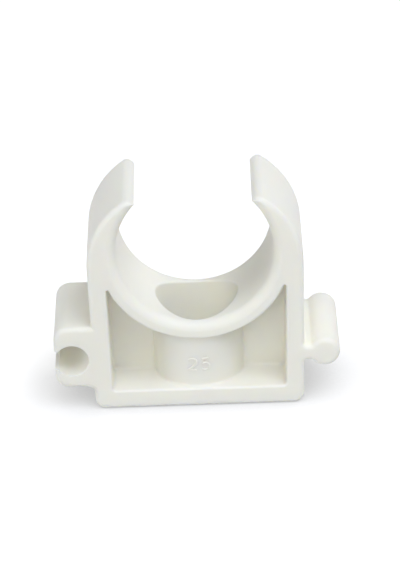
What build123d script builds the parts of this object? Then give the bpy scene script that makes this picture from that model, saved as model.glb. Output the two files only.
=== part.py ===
from build123d import *
import os
from math import cos, hypot, radians, sin, sqrt, tan

# Snap-in pipe clip, moulded in one piece, in millimetres. It stands on its mounting face at Z = 0.
# The screw axis is +Z, the pipe lies along Y, and the front face is the one at -Y.

# Pipe seat
pipe_diameter = 25.0
axis_height = 27.6
clip_depth = 16.4
lip_angle = 43.3  # degrees above the horizontal through the pipe axis
mouth_flare = 1.6  # radius that leads from the seat out to the front and rear faces

# Arms
arm_root_thickness = 4.7  # where the line of the side passes the pipe axis
side_lean = 0.85  # degrees by which the sides lean outwards as they rise
arm_tip_thickness = 1.7
arm_bend_drop = 2.6  # how far below the pipe axis the straight sides start to bend inwards
nose_radius = 1.1
nose_share = 0.7  # most of the tip's thickness that the nose radius may take
lip_radius = 0.35
lip_share = 0.25

# Box under the seat
cradle_thickness = 2.7
side_wall = 2.85
base_thickness = 3.3
web_thickness = 2.2
base_corner_radius = 1.7
outer_edge_radius = 0.8
pocket_floor_radius = 0.6
pocket_tip_radius = 0.2
pocket_web_radius = 0.5
pocket_mouth_radius = 0.4

# Screw boss
boss_setback = 0.95  # from the front face back to the boss
boss_wall = 0.8  # at the bottom of the seat
boss_root_radius = 0.4
boss_root_share = 0.95  # most of its room that the root radius may take
recess_draft = 5.0  # degrees
recess_edge_radius = 0.4
screw_seat_thickness = 4.2
screw_hole_diameter = 5.5

# Interlock between neighbouring clips: a bead on the right, a socket in a lug on the left
interlock_height = 9.1
bead_radius = 2.45
bead_neck_thickness = 2.7
bead_reach = 3.3  # from the side of the box to the axis of the bead
bead_root_radius = 0.5
bead_root_share = 0.6  # most of the gap between bead and side that the root radius may take
socket_reach = 3.35
interlock_clearance = 0.3
neighbour_gap = 0.5
lug_wall_above = 3.1
lug_wall_below = 2.3
lug_corner_radius = 2.4
lug_root_radius = 1.3
lug_root_share = 0.9  # most of the side between base corner and lug that the root radius may take

# Cutters run past the faces that they leave through by this much
overrun = 1.0

# The round of the flare is this much larger than one that only touches the seat
flare_crossing = 0.01

# Corners of an outline are found within this distance
corner_match = 0.001

# Sizes that follow from the ones above
seat_radius = pipe_diameter / 2
half_depth = clip_depth / 2
cradle_radius = seat_radius + cradle_thickness
boss_radius = half_depth - boss_setback
socket_radius = bead_radius + interlock_clearance
slot_height = bead_neck_thickness + 2 * interlock_clearance
lug_reach = bead_reach + socket_reach - neighbour_gap
lug_bottom = interlock_height - socket_radius - lug_wall_below
lug_top = interlock_height + socket_radius + lug_wall_above


def side_x(height):
    """Distance of the outer side from the screw axis at a height."""
    return seat_radius + arm_root_thickness - (axis_height - height) * tan(radians(side_lean))


# The interlock is measured from the side at its own height
interlock_side = side_x(interlock_height)
bead_x = interlock_side + bead_reach
socket_x = -(interlock_side + socket_reach)
lug_x = -(interlock_side + lug_reach)


def about_pipe(radius, angle):
    """The point of the front view at a radius and an angle in degrees about the pipe axis."""
    return (radius * cos(radians(angle)), axis_height + radius * sin(radians(angle)))


def corners_at(outline, x, height):
    """The corners of a front view at a point."""
    return [v for v in outline.vertices() if abs(v.X - x) + abs(v.Y - height) < corner_match]


def arm_half():
    """The right half of base, side, arm and seat, with the nose and the lip still sharp."""
    lip = about_pipe(seat_radius, lip_angle)
    tip = about_pipe(seat_radius + arm_tip_thickness, lip_angle)
    bottom = about_pipe(seat_radius, -90)
    bend_height = axis_height - arm_bend_drop
    bend_start = (side_x(bend_height), bend_height)
    edges = [
        Line((0, 0), (side_x(0), 0)),
        Line((side_x(0), 0), bend_start),
        TangentArc(bend_start, tip, tangent=(sin(radians(side_lean)), cos(radians(side_lean)))),
        Line(tip, lip),
        ThreePointArc(lip, about_pipe(seat_radius, (lip_angle - 90) / 2), bottom),
        Line(bottom, (0, 0)),
    ]
    return make_face(edges)


def rounded_half():
    """The right half with its base corner, nose and lip rounded."""
    half = arm_half()
    half = fillet(corners_at(half, side_x(0), 0), base_corner_radius)
    tip = about_pipe(seat_radius + arm_tip_thickness, lip_angle)
    half = fillet(corners_at(half, *tip), min(nose_radius, nose_share * arm_tip_thickness))
    lip = about_pipe(seat_radius, lip_angle)
    return fillet(corners_at(half, *lip), min(lip_radius, lip_share * arm_tip_thickness))


def lug_outline():
    """The lug as a block that ends inside the left side, with its two free corners rounded."""
    width = lug_reach + side_wall / 2
    block = Pos(lug_x, lug_bottom) * Rectangle(width, lug_top - lug_bottom, align=(Align.MIN, Align.MIN))
    return fillet(block.vertices().group_by(Axis.X)[0], lug_corner_radius)


def bead_outline():
    """The round bead and the neck that joins it to the right side."""
    neck = Rectangle(bead_reach + side_wall / 2, bead_neck_thickness, align=(Align.MAX, Align.CENTER))
    return Pos(bead_x, interlock_height) * (Circle(bead_radius) + neck)


def bead_roots():
    """The four inner corners of the neck: two at the bead and two at the side."""
    half_neck = bead_neck_thickness / 2
    at_bead = bead_x - sqrt(bead_radius ** 2 - half_neck ** 2)
    heights = (interlock_height - half_neck, interlock_height + half_neck)
    return [(x, height) for height in heights for x in (at_bead, side_x(height))]


def clip_outline():
    """The whole front view without pockets or socket."""
    half = rounded_half()
    outline = half + mirror(half, Plane.YZ) + lug_outline() + bead_outline()
    root_room = lug_bottom - base_corner_radius
    root_radius = min(lug_root_radius, lug_root_share * root_room)
    outline = fillet(corners_at(outline, -side_x(lug_bottom), lug_bottom), root_radius)
    bead_radius_limit = bead_root_share * (bead_reach - bead_radius)
    roots = [corner for place in bead_roots() for corner in corners_at(outline, *place)]
    return fillet(roots, min(bead_root_radius, bead_radius_limit))


def pocket_frame():
    """The front view of the space between the side walls, from the base up to the pipe axis."""
    wall = side_wall / cos(radians(side_lean))
    floor_x = side_x(base_thickness) - wall
    top_x = side_x(axis_height) - wall
    left = [(-top_x, axis_height), (-floor_x, base_thickness)]
    right = [(floor_x, base_thickness), (top_x, axis_height)]
    return make_face(Polyline(left + right, close=True))


def pocket_outline():
    """The front view of the hollow under the cradle, with its floor and upper corners rounded."""
    outline = pocket_frame() - Pos(0, axis_height) * Circle(cradle_radius)
    outline = fillet(outline.vertices().group_by(Axis.Y)[0], pocket_floor_radius)
    return fillet(outline.vertices().group_by(Axis.Y)[-1], pocket_tip_radius)


def lies_on_boss(edge):
    """Whether an edge runs along the wall of the screw boss."""
    return all(abs(hypot(v.X, v.Y) - boss_radius) < corner_match for v in edge.vertices())


def pocket():
    """The hollow in front of the web, less the screw boss, with rounded edges along web and boss."""
    web_face = Plane.XZ.offset(web_thickness / 2)
    depth = half_depth - web_thickness / 2 + overrun
    frame = extrude(web_face * pocket_frame(), depth)
    along_web = frame.faces().sort_by(Axis.Y)[-1].edges().sort_by(Axis.Z)[:-1]
    frame = fillet(along_web, pocket_web_radius)
    boss = Pos(0, 0, axis_height / 2) * Cylinder(boss_radius, axis_height)
    hollow = (extrude(web_face * pocket_outline(), depth) & frame) - boss
    room = min(boss_setback - pocket_mouth_radius, pocket_web_radius)
    root_radius = min(boss_root_radius, boss_root_share * room)
    return fillet([e for e in hollow.edges() if lies_on_boss(e)], root_radius)


def mouth_flare_cutter():
    """What a quarter round at the rear end of the seat leaves outside, turned about the pipe axis."""
    inner = seat_radius - overrun
    outer = seat_radius + mouth_flare
    start = half_depth - mouth_flare
    end = half_depth + overrun
    radius = mouth_flare + flare_crossing
    middle = (outer - radius * sqrt(0.5), start + radius * sqrt(0.5))
    edges = [
        Line((inner, start), (outer - radius, start)),
        ThreePointArc((outer - radius, start), middle, (outer, start + radius)),
        Polyline((outer, start + radius), (outer, end), (inner, end), (inner, start)),
    ]
    # The seam of the turned surface points up into the open mouth.
    return Pos(0, 0, axis_height) * Rot(0, -90, 0) * revolve(make_face(edges), Axis.Y)


def shell():
    """The moulding without its screw recess and socket: outline, pockets, edge radii and seat flares."""
    solid = extrude(Plane.XZ * clip_outline(), half_depth, both=True)
    front_pocket = pocket()
    solid = solid - front_pocket - mirror(front_pocket, Plane.XZ)
    for end in (0, -1):
        face = solid.faces().sort_by(Axis.Y)[end]
        solid = fillet([e for wire in face.inner_wires() for e in wire.edges()], pocket_mouth_radius)
        face = solid.faces().sort_by(Axis.Y)[end]
        solid = fillet(face.outer_wire().edges(), outer_edge_radius)
    flare = mouth_flare_cutter()
    return solid - flare - mirror(flare, Plane.XZ)


def screw_recess():
    """The drafted recess for the screw head, from its floor up to the pipe axis."""
    seat_bottom = axis_height - seat_radius
    slope = tan(radians(recess_draft))
    seat_level_radius = boss_radius - boss_wall
    floor_radius = seat_level_radius - (seat_bottom - screw_seat_thickness) * slope
    top_radius = seat_level_radius + seat_radius * slope
    height = axis_height - screw_seat_thickness
    return Pos(0, 0, screw_seat_thickness + height / 2) * Cone(floor_radius, top_radius, height)


def with_screw_way(solid):
    """The moulding with its screw recess, the recess's rounded rim and the screw hole."""
    solid = solid - screw_recess()
    rim = solid.faces().filter_by(GeomType.CONE)[0].edges().sort_by(Axis.Z)[-1]
    solid = fillet(rim, recess_edge_radius)
    hole_length = screw_seat_thickness + 2 * overrun
    return solid - Pos(0, 0, screw_seat_thickness / 2) * Cylinder(screw_hole_diameter / 2, hole_length)


def socket_cutter():
    """The socket through the lug, and the slot that opens it to the left."""
    slot = Rectangle(lug_reach, slot_height, align=(Align.MAX, Align.CENTER))
    opening = Pos(socket_x, interlock_height) * (Circle(socket_radius) + slot)
    return extrude(Plane.XZ * opening, half_depth + overrun, both=True)


os.makedirs("parts", exist_ok=True)
clip_body = with_screw_way(shell()) - socket_cutter()
export_step(clip_body, "parts/clip_body.step")
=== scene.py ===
import logging
from collections.abc import Callable
from dataclasses import dataclass, field
from enum import Enum
from math import asin, atan2, cos, degrees, hypot, pi, radians, sin

import bpy
import numpy as np
from mathutils import Matrix, Vector


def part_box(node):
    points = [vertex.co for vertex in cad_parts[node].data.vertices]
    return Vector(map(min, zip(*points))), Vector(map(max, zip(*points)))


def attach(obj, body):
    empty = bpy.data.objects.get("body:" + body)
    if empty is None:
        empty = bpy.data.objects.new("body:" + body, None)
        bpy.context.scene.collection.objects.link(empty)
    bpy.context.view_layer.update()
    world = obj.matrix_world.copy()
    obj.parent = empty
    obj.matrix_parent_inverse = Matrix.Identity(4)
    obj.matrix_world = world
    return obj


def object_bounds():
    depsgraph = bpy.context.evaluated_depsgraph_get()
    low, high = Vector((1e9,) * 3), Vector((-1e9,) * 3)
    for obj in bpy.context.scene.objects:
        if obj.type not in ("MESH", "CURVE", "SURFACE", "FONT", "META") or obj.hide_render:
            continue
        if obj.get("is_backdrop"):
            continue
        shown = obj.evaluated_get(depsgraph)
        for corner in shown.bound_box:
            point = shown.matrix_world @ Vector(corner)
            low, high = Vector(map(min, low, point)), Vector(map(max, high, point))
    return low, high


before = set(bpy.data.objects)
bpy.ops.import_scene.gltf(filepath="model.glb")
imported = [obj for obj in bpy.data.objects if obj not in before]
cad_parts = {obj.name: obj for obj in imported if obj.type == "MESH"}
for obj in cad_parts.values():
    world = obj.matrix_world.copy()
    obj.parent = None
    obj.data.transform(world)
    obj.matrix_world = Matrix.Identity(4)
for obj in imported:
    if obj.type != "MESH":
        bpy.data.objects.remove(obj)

# White snap-in pipe clip in one moulding. Lengths are metres unless a name says otherwise.
# The screw axis is +Z, the pipe lies along Y, and the photographed front faces -Y.

LOG = logging.getLogger("pipe_clip")
MILLIMETRE = 0.001
BODY = "root"
CLIP_NODE = "clip_body"
WHITE = (1.0, 1.0, 1.0, 1.0)

Colour = tuple[float, float, float]
Point = tuple[float, float, float]
Spot = tuple[float, float]

# The raised figures: steps of each arc, the angle at which the bow of the 2 starts, where the bar of
# the 5 ends and starts across its width, and the angles at which its bowl starts and ends
ARC_STEPS = 32
BOW_START_DEG = 165.0
BAR_END, BAR_START = 0.95, 0.18
BOWL_START_DEG, BOWL_END_DEG = 140.0, -145.0


class Slot(Enum):
    """The record's material slots that a piece can take its finish from."""

    WHITE_PLASTIC = "white_plastic"


class NodeSheet:
    """The emptied node tree of a material or world, and short calls that add and join nodes."""

    def __init__(self, owner: bpy.types.Material | bpy.types.World) -> None:
        """Empties the owner's tree and gives it its output.

        Args:
            owner: the material or world.
        """
        owner.use_nodes = True
        self.tree = owner.node_tree
        self.tree.nodes.clear()
        is_world = isinstance(owner, bpy.types.World)
        self.output = self.add("OutputWorld" if is_world else "OutputMaterial")

    def add(self, kind: str, **inputs: object) -> bpy.types.Node:
        """Adds a node and sets its inputs.

        Args:
            kind: the node's type, without the words that all shader nodes start with.
            inputs: values by socket name, with underscores for spaces.

        Returns:
            The new node.
        """
        node = self.tree.nodes.new("ShaderNode" + kind)
        for name, value in inputs.items():
            node.inputs[name.replace("_", " ")].default_value = value
        return node

    def join(self, source: bpy.types.NodeSocket, target: bpy.types.NodeSocket) -> None:
        """Joins an output to an input."""
        self.tree.links.new(source, target)

    def math(self, operation: str, *values: object) -> bpy.types.NodeSocket:
        """Adds a Math node.

        Args:
            operation: the node's operation.
            values: its inputs in order, each a number or an output to join.

        Returns:
            The node's output.
        """
        node = self.tree.nodes.new("ShaderNodeMath")
        node.operation = operation
        for socket, value in zip(node.inputs, values):
            if isinstance(value, bpy.types.NodeSocket):
                self.join(value, socket)
            else:
                socket.default_value = value
        return node.outputs[0]

    def noise(self, coordinates: bpy.types.NodeSocket, pitch: float, detail: float) -> bpy.types.NodeSocket:
        """Adds a noise pattern.

        Args:
            coordinates: the output that the pattern follows.
            pitch: the size of one feature of the pattern.
            detail: how many finer layers it has.

        Returns:
            The pattern's value, about 0 to 1.
        """
        node = self.add("TexNoise", Scale=1.0 / pitch, Detail=detail)
        self.join(coordinates, node.inputs["Vector"])
        return node.outputs["Fac"]

    def spread(self, value: bpy.types.NodeSocket, low: float, high: float) -> bpy.types.NodeSocket:
        """Maps a pattern of 0 to 1 onto another range.

        Args:
            value: the pattern.
            low: the result at 0.
            high: the result at 1.

        Returns:
            The mapped value.
        """
        node = self.add("MapRange", To_Min=low, To_Max=high)
        self.join(value, node.inputs["Value"])
        return node.outputs["Result"]

    def tint(self, factor: bpy.types.NodeSocket, first: Colour, second: Colour) -> bpy.types.NodeSocket:
        """Mixes two colours.

        Args:
            factor: 0 for the first colour, 1 for the second.
            first: the first colour.
            second: the second colour.

        Returns:
            The mixed colour.
        """
        node = self.tree.nodes.new("ShaderNodeMix")
        node.data_type = "RGBA"
        colours = [socket for socket in node.inputs if socket.type == "RGBA"]
        colours[0].default_value = (*first, 1.0)
        colours[1].default_value = (*second, 1.0)
        self.join(factor, node.inputs["Factor"])
        return next(socket for socket in node.outputs if socket.type == "RGBA")


@dataclass(frozen=True)
class MouldedPlastic:
    """White polypropylene as it leaves the mould: satin, a little translucent, with faint flow shading."""

    name: str = "white_polypropylene"
    pale: Colour = (0.899, 0.884, 0.799)
    deep: Colour = (0.887, 0.870, 0.780)
    flow_pitch: float = 14 * MILLIMETRE
    smoothest: float = 0.46
    roughest: float = 0.60
    gloss_pitch: float = 2.2 * MILLIMETRE
    grain_pitch: float = 0.16 * MILLIMETRE
    grain_height: float = 0.004 * MILLIMETRE
    ripple_pitch: float = 5.5 * MILLIMETRE
    ripple_height: float = 0.035 * MILLIMETRE
    parting_width: float = 0.09 * MILLIMETRE
    parting_height: float = 0.012 * MILLIMETRE
    translucency: float = 0.5
    light_reach: float = 2.5 * MILLIMETRE
    reach_by_colour: Colour = (1.0, 0.84, 0.5)
    refraction: float = 1.49
    broad_detail: float = 1.0
    fine_detail: float = 2.0

    def relief(self, sheet: NodeSheet, place: bpy.types.NodeSocket) -> bpy.types.NodeSocket:
        """The height of ripple, grain and the parting line, in metres.

        The parting line is a ridge along the middle plane, where the halves of the mould meet: its height
        falls from full at the plane to nothing at half its width.

        Args:
            sheet: the material's nodes.
            place: the object coordinates.

        Returns:
            The height above the plain surface.
        """
        waves = sheet.noise(place, self.ripple_pitch, self.broad_detail)
        specks = sheet.noise(place, self.grain_pitch, self.fine_detail)
        ripple = sheet.math("MULTIPLY", waves, self.ripple_height)
        grain = sheet.math("MULTIPLY", specks, self.grain_height)
        axes = sheet.add("SeparateXYZ")
        sheet.join(place, axes.inputs[0])
        off_plane = sheet.math("ABSOLUTE", axes.outputs["Y"])
        share = sheet.math("DIVIDE", off_plane, self.parting_width / 2)
        ridge = sheet.math("MAXIMUM", sheet.math("SUBTRACT", 1.0, share), 0.0)
        parting = sheet.math("MULTIPLY", ridge, self.parting_height)
        return sheet.math("ADD", sheet.math("ADD", ripple, grain), parting)

    def build(self) -> bpy.types.Material:
        """Makes the material.

        Returns:
            The finished material.
        """
        material = bpy.data.materials.new(self.name)
        sheet = NodeSheet(material)
        place = sheet.add("TexCoord").outputs["Object"]
        skin = sheet.add(
            "BsdfPrincipled",
            IOR=self.refraction,
            Subsurface_Weight=self.translucency,
            Subsurface_Scale=self.light_reach,
            Subsurface_Radius=self.reach_by_colour,
        )
        flow = sheet.noise(place, self.flow_pitch, self.broad_detail)
        sheet.join(sheet.tint(flow, self.pale, self.deep), skin.inputs["Base Color"])
        patches = sheet.noise(place, self.gloss_pitch, self.fine_detail)
        gloss = sheet.spread(patches, self.smoothest, self.roughest)
        sheet.join(gloss, skin.inputs["Roughness"])
        bump = sheet.add("Bump", Strength=1.0, Distance=1.0)
        sheet.join(self.relief(sheet, place), bump.inputs["Height"])
        sheet.join(bump.outputs[0], skin.inputs["Normal"])
        sheet.join(skin.outputs[0], sheet.output.inputs["Surface"])
        return material


@dataclass(frozen=True)
class StudioPaper:
    """Pale floor paper: it bounces light like any pale floor, and shows as white with a soft shadow, most
    of which is painted shade where the clip stands close over it.
    """

    name: str = "studio_paper"
    bounce: Colour = (0.80, 0.80, 0.80)
    shown: Colour = (0.37, 0.37, 0.37)
    glow: float = 0.82
    # painted shadow on the floor: how far from the clip and how deeply the paper is darkened for eye rays
    painted_shadow_reach: float = 13.0 * MILLIMETRE
    painted_shadow_depth: float = 0.55
    painted_shadow_samples: int = 4

    def build(self) -> bpy.types.Material:
        """Makes the material.

        Returns:
            The finished material.
        """
        material = bpy.data.materials.new(self.name)
        sheet = NodeSheet(material)
        seen = seen_by_eye(sheet)
        matte = sheet.add("BsdfDiffuse")
        sheet.join(sheet.tint(seen, self.bounce, self.shown), matte.inputs["Color"])
        lift = sheet.add("Emission")
        sheet.join(sheet.math("MULTIPLY", seen, self.glow), lift.inputs["Strength"])
        both = sheet.add("AddShader")
        sheet.join(matte.outputs[0], both.inputs[0])
        sheet.join(lift.outputs[0], both.inputs[1])
        # Besides the lamps' own shadow, painted shade: for eye rays only, the paper darkens by ambient
        # occlusion where the clip stands close over it, not by any lamp.
        painted_contact_shade = sheet.add("AmbientOcclusion", Distance=self.painted_shadow_reach)
        painted_contact_shade.samples = self.painted_shadow_samples
        hidden = sheet.math("SUBTRACT", 1.0, painted_contact_shade.outputs["AO"])
        shadow = sheet.math("MULTIPLY", sheet.math("MULTIPLY", hidden, self.painted_shadow_depth), seen)
        share = sheet.math("SUBTRACT", 1.0, shadow)
        shaded = sheet.add("MixShader")
        sheet.join(share, shaded.inputs[0])
        sheet.join(both.outputs[0], shaded.inputs[2])
        sheet.join(shaded.outputs[0], sheet.output.inputs["Surface"])
        return material


def seen_by_eye(sheet: NodeSheet) -> bpy.types.NodeSocket:
    """1 for rays that show a background, from the camera, a reflection or through glass, and 0 for light.

    Args:
        sheet: the nodes to add to.

    Returns:
        The 0 or 1.
    """
    path = sheet.add("LightPath")
    mirrored = sheet.math("MAXIMUM", path.outputs["Is Glossy Ray"], path.outputs["Is Transmission Ray"])
    return sheet.math("MAXIMUM", path.outputs["Is Camera Ray"], mirrored)


def mesh_piece(name: str, points: np.ndarray, faces: np.ndarray, smooth: bool) -> bpy.types.Object:
    """Puts arrays into a mesh object at the origin.

    Args:
        name: the piece's name.
        points: its points, one row each.
        faces: its faces, one row of point numbers each, all with as many corners.
        smooth: whether its faces shade smoothly.

    Returns:
        The object, linked to the scene.
    """
    mesh = bpy.data.meshes.new(name)
    corners = faces.shape[1]
    mesh.vertices.add(len(points))
    mesh.vertices.foreach_set("co", points.astype(np.float32).ravel())
    mesh.loops.add(faces.size)
    mesh.loops.foreach_set("vertex_index", faces.astype(np.int32).ravel())
    mesh.polygons.add(len(faces))
    mesh.polygons.foreach_set("loop_start", np.arange(0, faces.size, corners, dtype=np.int32))
    mesh.polygons.foreach_set("use_smooth", np.full(len(faces), smooth))
    mesh.update(calc_edges=True)
    mesh.validate()
    piece = bpy.data.objects.new(name, mesh)
    bpy.context.scene.collection.objects.link(piece)
    return piece


@dataclass
class ClipBody:
    """The moulding itself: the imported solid, dressed in its plastic."""

    node: str = CLIP_NODE
    finish: MouldedPlastic = field(default_factory=MouldedPlastic)
    probe_start: float = 2.0  # times the distance from the screw axis to the front face

    def dress(self) -> None:
        """Gives the solid its material."""
        material = self.finish.build()
        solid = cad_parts[self.node]
        for index in range(len(solid.material_slots)):
            solid.material_slots[index].material = material
        LOG.info("%s dressed in %s", self.node, material.name)

    def boss_radius(self, height: float) -> float:
        """Measures the screw boss, by a straight probe from the front towards the screw axis.

        Args:
            height: the height of the probe above the mounting face.

        Returns:
            The distance of the boss's front from the axis.
        """
        start = Vector((0.0, self.probe_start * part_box(self.node)[0].y, height))
        inward = Vector((0.0, 1.0, 0.0))
        found, place, _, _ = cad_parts[self.node].ray_cast(start, inward)
        if not found:
            raise RuntimeError("the probe met no boss")
        return -place.y


def arc(centre: Spot, radius: float, first_deg: float, last_deg: float) -> np.ndarray:
    """Points along a circular arc.

    Centre plus radius times the cosine and sine of an angle that runs evenly from the first to the last.

    Args:
        centre: the arc's centre.
        radius: its radius.
        first_deg: the angle at its start.
        last_deg: the angle at its end, lower than the first for a clockwise arc.

    Returns:
        The points, one row each.
    """
    angle = np.radians(np.linspace(first_deg, last_deg, ARC_STEPS))
    return np.asarray(centre) + radius * np.stack([np.cos(angle), np.sin(angle)], axis=1)


def figure_two(height: float) -> np.ndarray:
    """The centre line of a 2 that is 1 wide.

    A bow of radius 1/2 at the top runs into the straight line that touches it and ends at the lower left
    corner, and the foot runs along the base line.

    Args:
        height: its height.

    Returns:
        Its points, one row each.
    """
    bow = 0.5
    middle = (bow, height - bow)
    leg_deg = degrees(atan2(middle[1], middle[0]) - asin(bow / hypot(*middle)))
    foot = [(0.0, 0.0), (1.0, 0.0)]
    return np.concatenate([arc(middle, bow, BOW_START_DEG, leg_deg - 90.0), foot])


def figure_five(height: float) -> np.ndarray:
    """The centre line of a 5 that is 1 wide.

    A bar along the top, a stem down to the bowl, and a bowl of radius 1/2 that stays open on the left.

    Args:
        height: its height.

    Returns:
        Its points, one row each.
    """
    bowl = 0.5
    bar = [(BAR_END, height), (BAR_START, height)]
    return np.concatenate([bar, arc((bowl, bowl), bowl, BOWL_START_DEG, BOWL_END_DEG)])


def even_steps(path: np.ndarray, count: int, roundings: int) -> np.ndarray:
    """Spaces a path's points evenly and rounds its corners.

    The points are placed at equal lengths along the path. Each rounding then moves every inner point to a
    quarter of each neighbour plus half of itself.

    Args:
        path: the points, one row each.
        count: how many points the new path has.
        roundings: how often its corners are rounded.

    Returns:
        The new points.
    """
    along = np.concatenate([[0.0], np.cumsum(np.linalg.norm(np.diff(path, axis=0), axis=1))])
    spots = np.linspace(0.0, along[-1], count)
    even = np.stack([np.interp(spots, along, column) for column in path.T], axis=1)
    for _ in range(roundings):
        even[1:-1] = (even[:-2] + 2.0 * even[1:-1] + even[2:]) / 4.0
    return even


def tube_faces(rings: int, around: int) -> np.ndarray:
    """The triangles of a closed tube of rings, with one pole point before the first and one after the last.

    Args:
        rings: how many rings it has, without the poles.
        around: how many points each ring has.

    Returns:
        The triangles, one row of point numbers each, where point 0 is the first pole.
    """
    ring, side = np.meshgrid(np.arange(rings - 1), np.arange(around), indexing="ij")
    here = (1 + ring * around + side).ravel()
    beside = (1 + ring * around + (side + 1) % around).ravel()
    upper = np.stack([here, here + around, beside + around], axis=1)
    lower = np.stack([here, beside + around, beside], axis=1)
    turn = np.arange(around)
    after = (turn + 1) % around
    last_ring = 1 + (rings - 1) * around
    first = np.stack([np.zeros_like(turn), 1 + turn, 1 + after], axis=1)
    last = np.stack([last_ring + turn, np.full_like(turn, last_ring + around), last_ring + after], axis=1)
    return np.concatenate([upper, lower, first, last])


# The raised figures are too thin for light to spread inside them
THIN_PLASTIC = MouldedPlastic(name="thin_polypropylene", translucency=0.0)


@dataclass
class SizeMark:
    """The pipe's plain size, raised on the front of the screw boss, where such clips carry it."""

    boss_radius: float
    finish: MouldedPlastic = THIN_PLASTIC
    figures: tuple[Callable[[float], np.ndarray], ...] = (figure_two, figure_five)
    figure_height: float = 2.1 * MILLIMETRE
    figure_width: float = 1.3 * MILLIMETRE
    figure_gap: float = 0.75 * MILLIMETRE
    middle_height: float = 7.2 * MILLIMETRE
    stroke_width: float = 0.34 * MILLIMETRE
    relief: float = 0.14 * MILLIMETRE
    sink: float = 0.05 * MILLIMETRE
    steps: int = 96
    roundings: int = 3
    around: int = 16

    def bead(self, path: np.ndarray) -> np.ndarray:
        """The surface of one raised stroke.

        Each ring is an ellipse across the stroke, half its width sideways, its relief outwards and its sink
        inwards. Within half a width of either end the rings shrink as a circle does, so the ends are round.
        The flat figure is wrapped round the boss: its sideways measure is arc length.

        Args:
            path: the stroke's centre line, sideways and up, in metres.

        Returns:
            The points: a pole, the rings, and the other pole.
        """
        ahead = np.gradient(path, axis=0)
        ahead /= np.linalg.norm(ahead, axis=1, keepdims=True)
        across = np.stack([ahead[:, 1], -ahead[:, 0]], axis=1)
        length = np.linalg.norm(np.diff(path, axis=0), axis=1).sum()
        step = np.arange(self.steps)
        from_end = length * np.minimum(step, step[::-1]) / (self.steps - 1)
        missing = np.clip(1.0 - from_end / (self.stroke_width / 2), 0.0, 1.0)
        swell = np.sqrt(1.0 - missing ** 2)
        turn = 2 * pi * np.arange(self.around) / self.around
        reach = swell[1:-1, None] * np.cos(turn) * self.stroke_width / 2
        lift = swell[1:-1, None] * np.where(np.sin(turn) > 0, self.relief, self.sink) * np.sin(turn)
        flat = (path[1:-1, None, :] + reach[..., None] * across[1:-1, None, :]).reshape(-1, 2)
        flat = np.concatenate([path[:1], flat, path[-1:]])
        radius = self.boss_radius + np.concatenate([[0.0], lift.ravel(), [0.0]])
        angle = flat[:, 0] / self.boss_radius
        return np.stack([radius * np.sin(angle), -radius * np.cos(angle), flat[:, 1]], axis=1)

    def build(self) -> bpy.types.Object:
        """Builds all figures as one piece.

        Returns:
            The piece.
        """
        pitch = self.figure_width + self.figure_gap
        left = -(len(self.figures) * pitch - self.figure_gap) / 2
        bottom = self.middle_height - self.figure_height / 2
        points = []
        for number, figure in enumerate(self.figures):
            line = figure(self.figure_height / self.figure_width) * self.figure_width
            line += (left + number * pitch, bottom)
            points.append(self.bead(even_steps(line, self.steps, self.roundings)))
        faces = tube_faces(self.steps - 2, self.around)
        stacked = np.concatenate([faces + number * len(points[0]) for number in range(len(points))])
        piece = mesh_piece("pipe_size_mark", np.concatenate(points), stacked, smooth=True)
        piece.data.materials.append(self.finish.build())
        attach(piece, BODY)
        LOG.info("pipe_size_mark: %d faces", len(stacked))
        return piece


@dataclass(frozen=True)
class Softbox:
    """A square area lamp on a sphere about the clip, aimed at its middle."""

    name: str
    azimuth_deg: float
    elevation_deg: float
    power_w: float
    colour: Colour
    edge: float = 0.6
    distance: float = 0.8

    def build(self, aim: Vector) -> bpy.types.Object:
        """Makes the lamp.

        Args:
            aim: the point that it faces.

        Returns:
            The lamp.
        """
        turn, lift = radians(self.azimuth_deg), radians(self.elevation_deg)
        outward = Vector((sin(turn) * cos(lift), -cos(turn) * cos(lift), sin(lift)))
        data = bpy.data.lights.new(self.name, "AREA")
        data.shape = "SQUARE"
        data.size = self.edge
        data.energy = self.power_w
        data.color = self.colour
        lamp = bpy.data.objects.new(self.name, data)
        turned = outward.to_track_quat("Z", "Y").to_matrix().to_4x4()
        lamp.matrix_world = Matrix.Translation(aim + outward * self.distance) @ turned
        bpy.context.scene.collection.objects.link(lamp)
        LOG.info("%s: %.2f W", self.name, self.power_w)
        return lamp


# The studio's lamps: direction from the clip in degrees, power in watts and colour
LAMPS = (
    Softbox("key_lamp", 34, 60, 4.4, (0.96, 1.0, 1.12)),
    Softbox("front_lamp", -20, 32, 1.87, (1.01, 1.0, 0.96)),
    Softbox("left_lamp", -90, 10, 2.2, (0.96, 1.0, 1.09)),
    Softbox("rear_lamp", 130, 28, 1.87, (0.99, 1.0, 0.99)),
)


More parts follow.
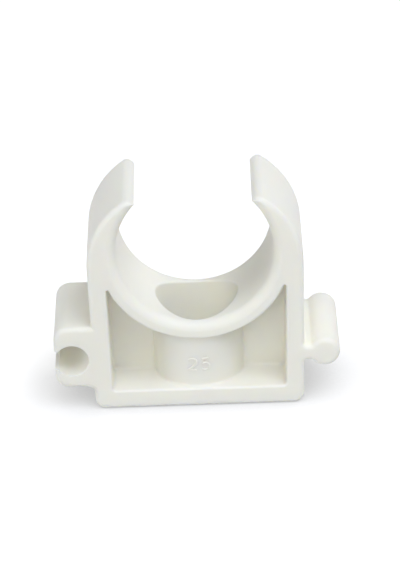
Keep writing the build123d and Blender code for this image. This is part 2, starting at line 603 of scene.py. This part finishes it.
@dataclass
class Studio:
    """A round pale floor under the clip, soft lamps and a plain world."""

    paper: StudioPaper = field(default_factory=StudioPaper)
    lamps: tuple[Softbox, ...] = LAMPS
    floor_radius: float = 4.0
    floor_gap: float = 0.02 * MILLIMETRE
    floor_rings: int = 24
    floor_sides: int = 96
    sky: Colour = (0.96, 0.98, 1.0)
    sky_light: float = 0.05
    sky_shown: float = 1.0

    def floor(self) -> bpy.types.Object:
        """Builds the floor.

        A disc: each ring's radius grows with the square of its number, and each ring is a circle of
        equal steps.

        Returns:
            The floor.
        """
        rings, sides = np.arange(self.floor_rings + 1), np.arange(self.floor_sides)
        ring, side = np.meshgrid(rings, sides, indexing="ij")
        radius = self.floor_radius * (ring / self.floor_rings) ** 2
        angle = 2 * pi * side / self.floor_sides
        depth = np.full(radius.shape, -self.floor_gap)
        grid = np.stack([radius * np.cos(angle), radius * np.sin(angle), depth], axis=-1)
        start = (ring[1:-1] * self.floor_sides + side[1:-1]).ravel()
        after = (ring[1:-1] * self.floor_sides + (side[1:-1] + 1) % self.floor_sides).ravel()
        quads = np.stack([start, start + self.floor_sides, after + self.floor_sides, after], axis=1)
        disc = mesh_piece("studio_floor", grid.reshape(-1, 3), quads, smooth=False)
        disc.data.materials.append(self.paper.build())
        disc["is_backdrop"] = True
        LOG.info("studio_floor: %d faces", len(quads))
        return disc

    def world(self) -> None:
        """Sets a world that lights faintly from all sides and shows white."""
        world = bpy.data.worlds.new("studio_world")
        bpy.context.scene.world = world
        sheet = NodeSheet(world)
        light = sheet.add("Background", Color=(*self.sky, 1.0), Strength=self.sky_light)
        shown = sheet.add("Background", Color=WHITE, Strength=self.sky_shown)
        pick = sheet.add("MixShader")
        sheet.join(seen_by_eye(sheet), pick.inputs[0])
        sheet.join(light.outputs[0], pick.inputs[1])
        sheet.join(shown.outputs[0], pick.inputs[2])
        sheet.join(pick.outputs[0], sheet.output.inputs["Surface"])

    def build(self, aim: Vector) -> None:
        """Builds floor, world and lamps.

        Args:
            aim: the point that the lamps face.
        """
        self.floor()
        self.world()
        for lamp in self.lamps:
            lamp.build(aim)


@dataclass(frozen=True)
class PhotoCamera:
    """The camera at the photograph's place: its stand about its aim, its roll and its lens."""

    aim: Point = (0.60 * MILLIMETRE, -0.09 * MILLIMETRE, 17.80 * MILLIMETRE)
    azimuth_deg: float = 0.45
    elevation_deg: float = 28.171
    roll_deg: float = 2.15
    distance: float = 0.5045
    lens_mm: float = 198.0
    sensor_mm: float = 36.0
    nearest: float = 0.05
    farthest: float = 20.0

    def build(self) -> bpy.types.Object:
        """Makes the camera and sets it as the scene's.

        Returns:
            The camera.
        """
        turn, lift = radians(self.azimuth_deg), radians(self.elevation_deg)
        roll = radians(self.roll_deg)
        back = Vector((sin(turn) * cos(lift), -cos(turn) * cos(lift), sin(lift)))
        level = Vector((cos(turn), sin(turn), 0.0))
        upright = back.cross(level)
        right = cos(roll) * level - sin(roll) * upright
        up = sin(roll) * level + cos(roll) * upright
        data = bpy.data.cameras.new("photo_camera")
        data.lens = self.lens_mm
        data.sensor_fit = "AUTO"
        data.sensor_width = self.sensor_mm
        data.clip_start = self.nearest
        data.clip_end = self.farthest
        camera = bpy.data.objects.new("photo_camera", data)
        place = Vector(self.aim) + back * self.distance
        turned = Matrix((right, up, back)).transposed().to_4x4()
        camera.matrix_world = Matrix.Translation(place) @ turned
        bpy.context.scene.collection.objects.link(camera)
        bpy.context.scene.camera = camera
        LOG.info("photo_camera: %.0f mm lens", self.lens_mm)
        return camera


def main() -> None:
    """Builds the scene in order."""
    logging.basicConfig(level=logging.INFO, format="%(message)s")
    bpy.context.view_layer.update()
    cad_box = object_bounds()
    bpy.context.scene.view_settings.view_transform = "Standard"
    aim = (cad_box[0] + cad_box[1]) / 2
    PhotoCamera().build()
    Studio().build(aim)
    clip = ClipBody()
    clip.dress()
    SizeMark(clip.boss_radius(SizeMark.middle_height)).build()


if __name__ == "__main__":
    main()
